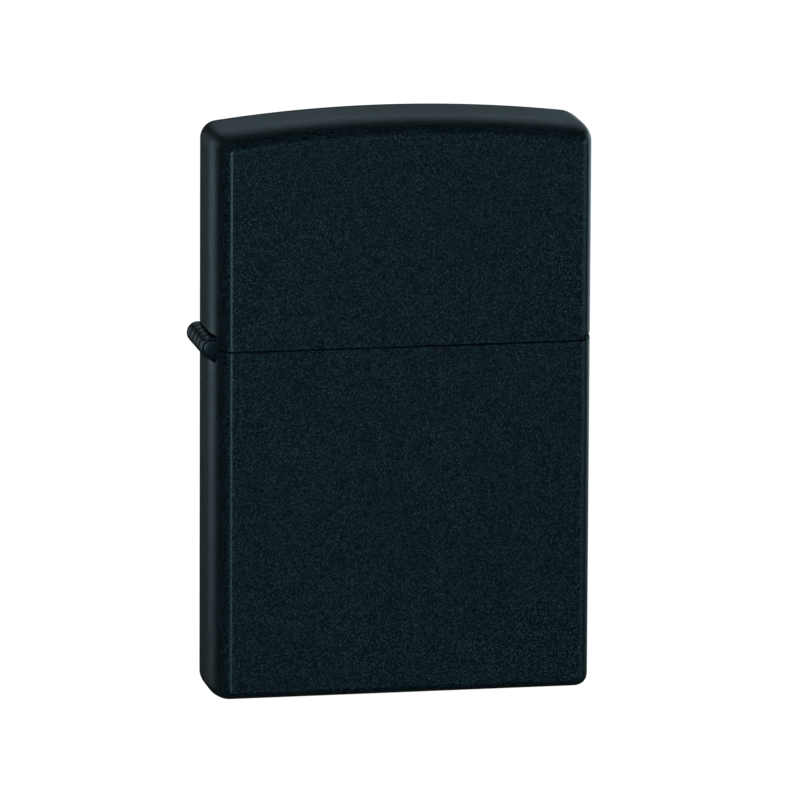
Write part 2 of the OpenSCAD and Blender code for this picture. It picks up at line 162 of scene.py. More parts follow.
class Graph:
    """The node tree of one finish, with its shader ready."""

    def __init__(self, name: str) -> None:
        """Makes a material of that name with one Principled shader.

        Args:
            name: the material's name.
        """
        self.material = bpy.data.materials.new(name)
        self.material.use_nodes = True
        self.tree = self.material.node_tree
        self.shader = self.tree.nodes["Principled BSDF"]

    def add(self, kind: str, settings: dict[str, Any] | None = None,
            sockets: dict[int | str, Any] | None = None, out: int | str = 0) -> Wire:
        """Adds one node, its settings first and then its sockets.

        Args:
            kind: the node's type.
            settings: attributes of the node, such as its operation.
            sockets: values or wires of its inputs, by index or name.
            out: the output that is returned.

        Returns:
            The chosen output.
        """
        node = self.tree.nodes.new(kind)
        for key, value in (settings or {}).items():
            setattr(node, key, value)
        for key, value in (sockets or {}).items():
            self._feed(node.inputs[key], value)
        return Wire(self, node.outputs[out])

    def _feed(self, socket: NodeSocket, value: Any) -> None:
        """Links a wire to a socket, or sets its value."""
        if isinstance(value, Wire):
            self.tree.links.new(value.socket, socket)
        else:
            socket.default_value = value

    def set(self, **values: Any) -> None:
        """Feeds the shader's inputs, named with underscores for spaces."""
        for key, value in values.items():
            self._feed(self.shader.inputs[key.replace("_", " ")], value)

    def place(self, stretch: Sequence[float] = (1.0, 1.0, 1.0)) -> Wire:
        """The piece's own coordinates, stretched.

        Args:
            stretch: the scale along each axis.

        Returns:
            A vector wire.
        """
        own = self.add("ShaderNodeTexCoord", out="Object")
        return self.add("ShaderNodeMapping", sockets={"Vector": own, "Scale": stretch})

    def grain(self, scale: float, detail: float = 2.0, rough: float = 0.5,
              stretch: Sequence[float] = (1.0, 1.0, 1.0)) -> Wire:
        """Cloudy noise over the piece.

        Args:
            scale: clouds per metre.
            detail: how many finer layers.
            rough: the weight of the finer layers.
            stretch: the scale along each axis.

        Returns:
            A value from 0 to 1.
        """
        return self.add("ShaderNodeTexNoise", sockets={
            "Vector": self.place(stretch), "Scale": scale, "Detail": detail, "Roughness": rough})

    def span(self, value: Wire, low: float, high: float,
             to: tuple[float, float] = (0.0, 1.0)) -> Wire:
        """Maps a value between two limits onto another range, clamped.

        Args:
            value: what is mapped.
            low: the value that gives the first end.
            high: the value that gives the second end.
            to: both ends.

        Returns:
            The mapped value.
        """
        return self.add("ShaderNodeMapRange", {"clamp": True}, {
            "Value": value, "From Min": low, "From Max": high, "To Min": to[0], "To Max": to[1]})

    def height(self) -> Wire:
        """The piece's own height in the row frame."""
        return self.add("ShaderNodeSeparateXYZ", sockets={"Vector": self.place()}, out="Z")

    def blend(self, share: Any, first: Any, second: Any) -> Wire:
        """Mixes two colours.

        Args:
            share: the share of the second colour.
            first: a colour or a wire.
            second: a colour or a wire.

        Returns:
            The mixed colour.
        """
        pair = [value if isinstance(value, Wire) else (*value, 1.0) for value in (first, second)]
        return self.add("ShaderNodeMix", {"data_type": "RGBA"}, {
            "Factor": share, 6: pair[0], 7: pair[1]}, out=2)

    def relief(self, height: Wire, depth: float, strength: float = 1.0) -> Wire:
        """Bump from a height.

        Args:
            height: the height from 0 to 1.
            depth: the real depth of the relief, in metres.
            strength: the share of it that shows.

        Returns:
            A normal.
        """
        return self.add("ShaderNodeBump", sockets={
            "Height": height, "Distance": depth, "Strength": strength})


# Finishes

Colour = tuple[float, float, float]


@dataclass(frozen=True)
class Finish(ABC):
    """A surface finish that makes its material once."""

    name: str
    _made: ClassVar[dict[str, bpy.types.Material]] = {}

    @abstractmethod
    def lay(self, graph: Graph) -> None:
        """Wires the finish onto a new graph."""

    def material(self) -> bpy.types.Material:
        """The finish's material, made on first use."""
        if self.name not in Finish._made:
            graph = Graph(self.name)
            self.lay(graph)
            Finish._made[self.name] = graph.material
        return Finish._made[self.name]


@dataclass(frozen=True)
class PowderCoat(Finish):
    """Matte powder coat with a fine pale speckle and a slight peel."""

    name: str = "speckled_powder_coat"
    body: Colour = (0.0012, 0.0034, 0.0042)
    deep: Colour = (0.0003, 0.001, 0.0014)
    speck: Colour = (0.0195, 0.0385, 0.0455)
    gleam: Colour = (0.5, 0.86, 1.0)
    gloss: float = 0.12
    rough: float = 0.35
    speck_share: float = 1.0
    grains: float = 7200.0

    def lay(self, graph: Graph) -> None:
        """Dark body, two sizes of speckle and a fine peel."""
        coarse = graph.grain(self.grains, 2.0, 0.6)
        fine = graph.grain(self.grains * 2.1, 1.0, 0.5)
        peel = graph.grain(1500.0, 2.0, 0.5)
        cloud = graph.grain(150.0, 3.0, 0.55)
        ground = graph.blend(graph.span(coarse, 0.4, 0.6), self.deep, self.body)
        speck = graph.span(coarse, 0.51, 0.63) * graph.span(fine, 0.44, 0.58)
        graph.set(
            Base_Color=graph.blend(speck * self.speck_share, ground, self.speck),
            Roughness=graph.span(cloud, 0.3, 0.7, (self.rough - 0.02, self.rough + 0.02))
            - speck * 0.1,
            Specular_IOR_Level=self.gloss,
            Specular_Tint=(*self.gleam, 1.0),
            Normal=graph.relief(peel * 0.5 + coarse * 0.5, 0.03 * MM, 0.6),
        )


@dataclass(frozen=True)
class BrushedSheet(Finish):
    """Rolled stainless sheet with fine brushed lines."""

    name: str
    tint: Colour = (0.6, 0.6, 0.61)
    rough: float = 0.26
    lines: tuple[float, float, float] = (60.0, 60.0, 2.0)
    # Height of a near-black band of painted shade for the shadow inside the seam gap between lid
    # and case; 0 gives none.
    painted_shade_z: float = 0.0
    painted_shade_half: float = 0.14 * MM

    def lay(self, graph: Graph) -> None:
        """Lines along one way, faint stains, soft scuffs and, where a height is given, a band of
        painted shade that darkens the steel at the seam.
        """
        line = graph.grain(90.0, 4.0, 0.6, self.lines)
        stain = graph.grain(260.0, 3.0, 0.6)
        scuff = graph.grain(900.0, 4.0, 0.7)
        dull = graph.span(scuff, 0.62, 0.8)
        colour = graph.blend(
            graph.span(stain, 0.35, 0.7), self.tint, tuple(0.84 * part for part in self.tint))
        # Painted shade: near-black base colour in a thin band at the seam's height, for the shadow
        # inside the gap between lid and case.
        if self.painted_shade_z:
            height = graph.height()
            above = graph.span(height, self.painted_shade_z, self.painted_shade_z + self.painted_shade_half, (1.0, 0.0))
            below = graph.span(height, self.painted_shade_z - 2 * self.painted_shade_half,
                               self.painted_shade_z - self.painted_shade_half)
            colour = graph.blend(above * below, colour, (0.004, 0.004, 0.004))
        graph.set(
            Base_Color=colour,
            Metallic=1.0,
            Roughness=graph.span(line, 0.3, 0.7, (self.rough - 0.05, self.rough + 0.06))
            + dull * 0.12,
            Normal=graph.relief(line, 0.003 * MM, 0.4),
        )


@dataclass(frozen=True)
class BareMetal(Finish):
    """Turned or cut metal with small tool marks."""

    name: str
    tint: Colour
    rough: float = 0.3
    marks: float = 1600.0
    stain: Colour | None = None
    metallic: float = 1.0

    def lay(self, graph: Graph) -> None:
        """Patchy tint, tool marks and a fine bump."""
        patch = graph.grain(420.0, 3.0, 0.6)
        mark = graph.grain(self.marks, 3.0, 0.65)
        dark = self.stain or tuple(0.7 * part for part in self.tint)
        graph.set(
            Base_Color=graph.blend(graph.span(patch, 0.4, 0.72), self.tint, dark),
            Metallic=self.metallic,
            Roughness=graph.span(mark, 0.3, 0.7, (self.rough - 0.08, self.rough + 0.12)),
            Normal=graph.relief(mark, 0.008 * MM, 0.5),
        )


@dataclass(frozen=True)
class Fibre(Finish):
    """Soft fibre: wadding, felt or cotton yarn."""

    name: str
    tint: Colour
    shade: Colour
    strands: float = 2600.0
    depth: float = 0.1 * MM
    char_from: float = 1.0
    char_to: float = 2.0
    stretch: tuple[float, float, float] = (1.0, 1.0, 1.0)

    def lay(self, graph: Graph) -> None:
        """Tangled strands of two sizes, charred above a height where one is given."""
        strand = graph.grain(self.strands, 4.0, 0.7, self.stretch)
        tuft = graph.grain(self.strands * 0.2, 3.0, 0.6)
        mix = graph.span(strand * 0.6 + tuft * 0.4, 0.35, 0.62)
        colour = graph.blend(mix, self.shade, self.tint)
        if self.char_from < 1.0:
            height = graph.height()
            burnt = graph.span(height + (tuft - 0.5) * (2.0 * MM), self.char_from, self.char_to)
            colour = graph.blend(burnt, colour, (0.03, 0.024, 0.02))
        graph.set(
            Base_Color=colour,
            Roughness=0.95,
            Specular_IOR_Level=0.15,
            Sheen_Weight=0.25,
            Normal=graph.relief(strand, self.depth, 0.8),
        )


@dataclass(frozen=True)
class PaleFloor(Finish):
    """Plain pale floor, lit through from below like a light table."""

    name: str = "pale_floor"
    tint: Colour = (0.5, 0.5, 0.5)
    glow: float = 0.93

    def lay(self, graph: Graph) -> None:
        """Matte and even."""
        graph.set(Base_Color=(*self.tint, 1.0), Roughness=0.9, Specular_IOR_Level=0.0,
                  Emission_Color=(1.0, 1.0, 1.0, 1.0), Emission_Strength=self.glow)


COAT = PowderCoat()
HINGE_COAT = PowderCoat(name="hinge_coat", gloss=0.18, rough=0.36, speck_share=0.15, grains=6000.0)
# The insert's sheet gets a band of painted shade at the seam's height.
SHELL_STEEL = BrushedSheet("insert_sheet", painted_shade_z=SEAM)
GUARD_STEEL = BrushedSheet("chimney_sheet", (0.58, 0.58, 0.59), 0.3, (60.0, 60.0, 3.0))
RIVET_STEEL = BareMetal("rivet_steel", (0.55, 0.55, 0.56), 0.24)
WHEEL_STEEL = BareMetal("file_hard_steel", (0.2, 0.2, 0.21), 0.34, 2400.0)
SPRING_STEEL = BareMetal("spring_steel", (0.42, 0.43, 0.45), 0.28, 1800.0, (0.3, 0.27, 0.25))
BRASS = BareMetal("turned_brass", (0.72, 0.5, 0.22), 0.25, 1500.0, (0.5, 0.33, 0.15))
FLINT_ALLOY = BareMetal("flint_alloy", (0.12, 0.115, 0.11), 0.62, 2600.0, (0.06, 0.055, 0.05), 0.5)
COPPER = BareMetal("copper_wire", (0.72, 0.35, 0.2), 0.3, 1800.0, (0.45, 0.2, 0.12))
WICK_YARN = Fibre("braided_cotton", (0.75, 0.7, 0.58), (0.5, 0.44, 0.33), 3800.0, 0.05 * MM,
                  DECK + 8.6 * MM, DECK + 11.0 * MM)
COTTON_WOOL = Fibre("cotton_wadding", (0.84, 0.82, 0.76), (0.66, 0.63, 0.56), 1500.0, 0.3 * MM)
WOOL_FELT = Fibre("pressed_felt", (0.62, 0.59, 0.52), (0.44, 0.41, 0.35), 2800.0, 0.12 * MM)


# Mesh tools


@dataclass(frozen=True)
class Edging:
    """How a piece is finished by its modifiers, in metres."""

    wall: float = 0.0
    wall_side: float = -1.0
    bevel: float = 0.0
    bevel_steps: int = 2
    bevel_angle: float = 50.0
    sharp: float = 40.0


def put(name: str, data: Any) -> Object:
    """Makes an object of some data and links it to the scene."""
    made = bpy.data.objects.new(name, data)
    bpy.context.scene.collection.objects.link(made)
    return made


def settle(name: str, bm: BMesh, body: Body, finish: Finish,
           replaces: Sequence[str] = (), edging: Edging = Edging()) -> Object:
    """Turns a bmesh into a finished piece that rides on a body.

    Args:
        name: the piece's name.
        bm: its mesh, in the row frame; it is freed.
        body: the body it rides on.
        finish: its finish.
        replaces: the CAD nodes it stands for.
        edging: its wall, bevel and shading.

    Returns:
        The object.
    """
    for face in bm.faces:
        face.smooth = True
    if not edging.bevel:
        limit = math.radians(edging.sharp)
        for edge in bm.edges:
            edge.smooth = edge.calc_face_angle(0.0) < limit
    mesh = bpy.data.meshes.new(name)
    bm.to_mesh(mesh)
    bm.free()
    piece = put(name, mesh)
    mesh.materials.append(finish.material())
    if edging.wall:
        shell = piece.modifiers.new("wall", "SOLIDIFY")
        shell.thickness = edging.wall
        shell.offset = edging.wall_side
        shell.use_even_offset = True
    if edging.bevel:
        ease = piece.modifiers.new("eased_edges", "BEVEL")
        ease.width = edging.bevel
        ease.segments = edging.bevel_steps
        ease.limit_method = "ANGLE"
        ease.angle_limit = math.radians(edging.bevel_angle)
        ease.face_strength_mode = "FSTR_ALL"
        weigh = piece.modifiers.new("weighted_normals", "WEIGHTED_NORMAL")
        weigh.keep_sharp = False
        weigh.use_face_influence = True
    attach(piece, body.value)
    if replaces:
        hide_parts(*replaces)
    log.info("%s rides on %s", name, body.value)
    return piece


def dress(node: str, finish: Finish) -> None:
    """Gives a CAD node that stays its finish.

    Args:
        node: the node's name.
        finish: the finish.
    """
    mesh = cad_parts[node].data
    mesh.materials.clear()
    mesh.materials.append(finish.material())
    log.info("%s keeps its CAD shape", node)


def clean(bm: BMesh, gap: float = 0.002 * MM) -> None:
    """Merges doubles and turns the faces outwards."""
    bmesh.ops.remove_doubles(bm, verts=bm.verts, dist=gap)
    bmesh.ops.recalc_face_normals(bm, faces=bm.faces)


def shift(bm: BMesh, by: Sequence[float]) -> None:
    """Moves a whole mesh."""
    bmesh.ops.translate(bm, vec=by, verts=bm.verts)


def fill(bm: BMesh, normal: Sequence[float]) -> None:
    """Fills the flat outlines of a mesh, leaving its holes open."""
    bmesh.ops.triangle_fill(bm, use_beauty=True, edges=bm.edges, normal=normal)


def fresh_verts(made: dict[str, Any]) -> list[BMVert]:
    """The new vertices in an extrusion's result."""
    return [item for item in made["geom"] if isinstance(item, BMVert)]


def chain(bm: BMesh, points: Sequence[Vector], closed: bool) -> list:
    """Adds a chain of edges through a few points.

    Args:
        bm: the mesh.
        points: the corners in order.
        closed: whether the last joins the first.

    Returns:
        The new vertices, in order.
    """
    verts = [bm.verts.new(point) for point in points]
    for first, second in zip(verts, verts[1:] + (verts[:1] if closed else [])):
        bm.edges.new((first, second))
    return verts


def round_corner(bm: BMesh, verts: Iterable, radius: float, steps: int) -> None:
    """Rounds corners of an outline.

    Args:
        bm: the mesh.
        verts: the corners.
        radius: how far the round reaches along each edge.
        steps: its segments.
    """
    bmesh.ops.bevel(bm, geom=list(verts), offset=radius, offset_type="OFFSET", segments=steps,
                    profile=0.5, affect="VERTICES", clamp_overlap=False, material=-1)


def round_edges(bm: BMesh, keep: Callable[[BMEdge], bool],
                radius: float, steps: int) -> None:
    """Rounds the chosen edges.

    Args:
        bm: the mesh.
        keep: says of an edge whether it is rounded.
        radius: the radius.
        steps: segments of the round.
    """
    bmesh.ops.bevel(bm, geom=[edge for edge in bm.edges if keep(edge)], offset=radius,
                    offset_type="OFFSET", segments=steps, profile=0.5, affect="EDGES",
                    clamp_overlap=False, material=-1)


def cut(bm: BMesh, place: Vector, normal: Vector,
        where: Callable[[Vector], bool] = lambda centre: True) -> None:
    """Cuts an edge loop along a plane through some of the faces.

    Args:
        bm: the mesh.
        place: a point on the plane.
        normal: the plane's normal.
        where: says of a face's centre whether it is cut.
    """
    faces = [face for face in bm.faces if where(face.calc_center_median())]
    edges = {edge for face in faces for edge in face.edges}
    verts = {vert for face in faces for vert in face.verts}
    bmesh.ops.bisect_plane(bm, geom=[*verts, *edges, *faces], dist=0.001 * MM,
                           plane_co=place, plane_no=normal)


def turned(profile: Sequence[tuple[float, float]], centre: Vector, axis: Axis, closed: bool = False,
           ease: float = 0.0, steps: int = 48) -> BMesh:
    """Turns a profile about an axis.

    Args:
        profile: pairs of radius and height along the axis, in order.
        centre: the point on the axis at height zero.
        axis: the axis.
        closed: whether the profile closes on itself, as for a tube.
        ease: how far the profile's corners are rounded.
        steps: steps of the full turn.

    Returns:
        The turned mesh.
    """
    bm = bmesh.new()
    verts = chain(bm, [Vector((radius, 0.0, height)) for radius, height in profile], closed)
    if ease:
        round_corner(bm, [v for v in verts if v.co.x > ease], ease, 3)
    bmesh.ops.spin(bm, geom=[*bm.verts, *bm.edges], cent=(0, 0, 0), axis=(0, 0, 1),
                   dvec=(0, 0, 0), angle=2 * math.pi, steps=steps, use_merge=True)
    clean(bm)
    turn = Vector((0, 0, 1)).rotation_difference(axis.vector).to_matrix().to_4x4()
    bmesh.ops.transform(bm, matrix=Matrix.Translation(centre) @ turn, verts=bm.verts)
    return bm


def both_ends(end: Sequence[tuple[float, float]], tip: float) -> list[tuple[float, float]]:
    """A pin's whole profile, from the profile of one end and the height of its tip."""
    return [(0.0, -tip), *((r, -h) for r, h in reversed(end)), *end, (0.0, tip)]


def merged(*parts: BMesh) -> BMesh:
    """Joins meshes into the first and frees the others."""
    whole = parts[0]
    for part in parts[1:]:
        mesh = bpy.data.meshes.new("part")
        part.to_mesh(mesh)
        part.free()
        whole.from_mesh(mesh)
        bpy.data.meshes.remove(mesh)
    return whole


def box_shell(low: Vector, high: Vector) -> BMesh:
    """A box between two corners."""
    bm = bmesh.new()
    bmesh.ops.create_cube(bm, size=1.0)
    bmesh.ops.scale(bm, vec=high - low, verts=bm.verts)
    shift(bm, (low + high) / 2)
    return bm


def drawn(low: float, high: float, mouth: int) -> BMesh:
    """The flat skin of the case or the lid, which is pillowed later.

    Args:
        low: the height of its lower end.
        high: the height of its upper end.
        mouth: 1 where it opens upwards, or -1 downwards.

    Returns:
        The skin, its upright edges rounded.
    """
    flat_y = HALF_T / PILLOW
    bm = box_shell(Vector((-HALF_W, -flat_y, low)), Vector((HALF_W, flat_y, high)))
    ends = [face for face in bm.faces if face.normal.z * mouth > 0.9]
    bmesh.ops.delete(bm, geom=ends, context="FACES")
    round_edges(bm, upright, EDGE_R, ROLL_STEPS)
    return bm


def upright(edge: BMEdge) -> bool:
    """Whether an edge stands upright."""
    run = edge.verts[1].co - edge.verts[0].co
    return abs(run.z) > 0.9 * run.length


def level_at(height: float) -> Callable[[BMEdge], bool]:
    """A test for edges of the outline that lie at a height."""
    def test(edge: BMEdge) -> bool:
        return all(abs(vert.co.z - height) < PAST for vert in edge.verts) and not all(
            abs(face.normal.z) > 0.9 for face in edge.link_faces)
    return test


def cut_notch(bm: BMesh, up: int) -> None:
    """Cuts the hinge barrel's room out of the end wall's rim.

    Args:
        bm: the outer skin.
        up: 1 for the lid, whose notch rises from the seam, or -1 for the case.
    """
    def near(centre: Vector) -> bool:
        return centre.x < -HALF_W + 0.4 * MM

    for side in (-1, 1):
        cut(bm, Vector((0, side * NOTCH_HALF, 0)), Axis.Y.vector, near)
    edge_z = SEAM + up * NOTCH_R
    cut(bm, Vector((0, 0, edge_z)), Axis.Z.vector, near)
    inside = [face for face in bm.faces
              if near(face.calc_center_median())
              and abs(face.calc_center_median().y) < NOTCH_HALF
              and (face.calc_center_median().z - edge_z) * up < 0]
    bmesh.ops.delete(bm, geom=inside, context="FACES")


def plate(outline: Sequence[tuple[float, float]], rounds: dict[int, float],
          holes: Sequence[tuple[float, float, float]]) -> BMesh:
    """A flat sheet in the X and Z plane with round corners and round holes.

    Args:
        outline: its corners in X and Z.
        rounds: the radius of some corners, by index.
        holes: centre in X and Z and radius of each hole.

    Returns:
        The sheet, one face thick.
    """
    bm = bmesh.new()
    corners = chain(bm, [Vector((x, 0.0, z)) for x, z in outline], True)
    for index, radius in rounds.items():
        round_corner(bm, [corners[index]], radius, 12)
    for x, z, radius in holes:
        turn = Matrix.Translation((x, 0.0, z)) @ Matrix.Rotation(math.pi / 2, 4, "X")
        bmesh.ops.create_circle(bm, cap_ends=False, segments=32, radius=radius, matrix=turn)
    fill(bm, (0, -1, 0))
    return bm


def thicken(bm: BMesh, across: Vector) -> None:
    """Extrudes a flat sheet through a thickness and closes it."""
    made = bmesh.ops.extrude_face_region(bm, geom=list(bm.faces), use_keep_orig=True)
    bmesh.ops.translate(bm, vec=across, verts=fresh_verts(made))
    bmesh.ops.recalc_face_normals(bm, faces=bm.faces)


def rope(name: str, paths: Sequence[Sequence[Vector]], radius: float, sides: int = 3,
         smooth: bool = True) -> BMesh:
    """Round strands along paths.

    Args:
        name: a name for the working curve.
        paths: the points of each strand.
        radius: the strand's radius.
        sides: steps of a quarter turn round the strand.
        smooth: whether the strand rounds the corners of its path.

    Returns:
        The strands as one mesh.
    """
    curve = bpy.data.curves.new(name, "CURVE")
    curve.dimensions = "3D"
    curve.bevel_depth = radius
    curve.bevel_resolution = sides
    curve.use_fill_caps = True
    for path in paths:
        spline = curve.splines.new("NURBS" if smooth else "POLY")
        spline.points.add(len(path) - 1)
        for point, place in zip(spline.points, path):
            point.co = (*place, 1.0)
        spline.use_endpoint_u = True
        spline.order_u = 3
        spline.resolution_u = 3
    holder = put(name, curve)
    mesh = bpy.data.meshes.new_from_object(
        holder.evaluated_get(bpy.context.evaluated_depsgraph_get()))
    bm = bmesh.new()
    bm.from_mesh(mesh)
    bpy.data.meshes.remove(mesh)
    bpy.data.objects.remove(holder)
    bpy.data.curves.remove(curve)
    clean(bm)
    return bm


# Case and lid


@dataclass
class Leaf:
    """One hinge leaf: a plate on the wall and the curled knuckles."""

    first: int
    up: int
    body: Body
    node: str
    count: int = 5
    length: float = 8.2 * MM
    gap: float = 0.08 * MM
    outer: float = 1.1 * MM
    inner: float = 0.75 * MM
    height: float = 8.0 * MM
    curl: float = 325.0
    overlap: float = 0.1 * MM
    corner_r: float = 0.8 * MM

    def knuckle(self, index: int) -> BMesh:
        """One knuckle, curled out of a finger of the plate.

        Args:
            index: its place along the barrel.

        Returns:
            Its mesh.
        """
        pitch = self.length / self.count
        start = -self.length / 2 + index * pitch + self.gap / 2
        bm = bmesh.new()
        lip = chain(bm, [Vector((HINGE_X + reach, start, SEAM))
                         for reach in (self.inner, self.outer)], False)
        root = bmesh.ops.extrude_edge_only(bm, edges=list(bm.edges))
        bmesh.ops.translate(bm, vec=(0, 0, self.up * (NOTCH_R + self.overlap)),
                            verts=fresh_verts(root))
        edge = next(e for e in bm.edges if set(e.verts) == set(lip))
        bmesh.ops.spin(bm, geom=[*lip, edge], cent=(HINGE_X, 0, SEAM), axis=(0, self.up, 0),
                       dvec=(0, 0, 0), angle=math.radians(self.curl), steps=28, use_merge=False)
        bmesh.ops.remove_doubles(bm, verts=bm.verts, dist=0.001 * MM)
        thicken(bm, Vector((0, pitch - self.gap, 0)))
        return bm

    def build(self) -> None:
        """Builds the whole leaf."""
        ends = sorted((SEAM + self.up * NOTCH_R, SEAM + self.up * self.height))
        plate_bm = box_shell(
            Vector((-HALF_W + WALL, -self.length / 2, ends[0])),
            Vector((HINGE_X + self.outer, self.length / 2, ends[1])))
        outer_z = SEAM + self.up * self.height
        round_edges(plate_bm, lambda e: all(abs(v.co.z - outer_z) < PAST for v in e.verts)
                    and abs((e.verts[0].co - e.verts[1].co).x) > PAST, self.corner_r, 6)
        knuckles = [self.knuckle(i) for i in range(self.first, self.count, 2)]
        settle(self.node + "_piece", merged(plate_bm, *knuckles), self.body,
               HINGE_COAT, [self.node], Edging(bevel=0.05 * MM))


@dataclass
class CaseAssembly:
    """The lower case with its hinge leaf and pin."""

    rim: float = SEAM - SEAM_GAP
    foot_r: float = 1.3 * MM
    pin_r: float = 0.7 * MM
    pin_half: float = 4.1 * MM
    head_r: float = 0.9 * MM
    head_l: float = 0.15 * MM

    def shell(self) -> None:
        """Builds the drawn case, open above and notched for the barrel."""
        bm = drawn(0.0, self.rim, 1)
        round_edges(bm, level_at(0.0), self.foot_r, 12)
        bmesh.ops.scale(bm, vec=(1.0, PILLOW, 1.0), verts=bm.verts)
        cut_notch(bm, -1)
        settle("case_shell", bm, Body.CASE, COAT, ["case_body"],
               Edging(wall=WALL, bevel=RIM_EASE, bevel_steps=3))

    def pin(self) -> None:
        """Builds the hinge pin with domed, peened ends."""
        end = self.pin_half + self.head_l
        head = [(self.pin_r, self.pin_half), (self.head_r, self.pin_half),
                (self.head_r * 0.9, end - 0.04 * MM), (self.head_r * 0.5, end)]
        bm = turned(both_ends(head, end), Vector((HINGE_X, 0, SEAM)), Axis.Y,
                    ease=0.02 * MM, steps=32)
        settle("hinge_pin_peened", bm, Body.CASE, HINGE_COAT, ["hinge_pin"],
               Edging(sharp=60.0))

    def build(self) -> None:
        """Builds the case's pieces."""
        self.shell()
        Leaf(0, -1, Body.CASE, "case_hinge_leaf").build()
        self.pin()


@dataclass
class LidAssembly:
    """The lid with its crowned top and its hinge leaf."""

    rim: float = SEAM + SEAM_GAP
    top: float = 57.0 * MM
    brow_r: float = 1.65 * MM
    crown_r: float = 136.5 * MM
    bow_cuts: int = 12
    lip_in: float = 0.26 * MM
    lip_up: float = 0.5 * MM

    def crown(self, bm: BMesh) -> None:
        """Bows the flat top to the crown's arc.

        Args:
            bm: the lid's skin with a flat top.
        """
        for vert in bm.verts:
            if vert.co.z > self.top - self.brow_r - PAST:
                vert.co.z -= vert.co.x ** 2 / (2 * self.crown_r)

    def ease_lip(self, bm: BMesh) -> None:
        """Turns the rim in at the thumb end.

        Args:
            bm: the lid's skin.
        """
        steps = (1.0, 0.7, 0.4, 0.2)
        for share in steps:
            cut(bm, Vector((0, 0, self.rim + share * self.lip_up)), Axis.Z.vector,
                lambda centre: centre.x > HALF_W - EDGE_R)
        for vert in bm.verts:
            rise = (vert.co.z - self.rim) / self.lip_up
            if vert.co.x > HALF_W - EDGE_R and rise < 1.0:
                reach = (vert.co.x - HALF_W + EDGE_R) / EDGE_R
                vert.co.x -= self.lip_in * (1.0 - rise) ** 2 * min(1.0, reach * 1.5)

    def shell(self) -> None:
        """Builds the drawn lid, open below."""
        bm = drawn(self.rim, self.top, -1)
        flat = HALF_W - EDGE_R
        for i in range(-self.bow_cuts, self.bow_cuts + 1):
            cut(bm, Vector((i / self.bow_cuts * flat * 0.995, 0, 0)), Axis.X.vector)
        round_edges(bm, level_at(self.top), self.brow_r, 12)
        arcs = {round(abs(v.co.x) / MM, 3) for v in bm.verts
                if v.co.z > self.top - PAST and abs(v.co.x) > flat}
        for x in sorted(arcs)[:-1]:
            for side in (-1, 1):
                cut(bm, Vector((side * x * MM, 0, 0)), Axis.X.vector,
                    lambda centre: centre.z > self.top - PAST)
        bmesh.ops.scale(bm, vec=(1.0, PILLOW, 1.0), verts=bm.verts)
        self.crown(bm)
        cut_notch(bm, 1)
        self.ease_lip(bm)
        settle("lid_shell", bm, Body.LID, COAT, ["case_lid"],
               Edging(wall=WALL, bevel=RIM_EASE, bevel_steps=3))

    def build(self) -> None:
        """Builds the lid's pieces."""
        self.shell()
        Leaf(1, 1, Body.LID, "lid_hinge_leaf").build()


# Insert


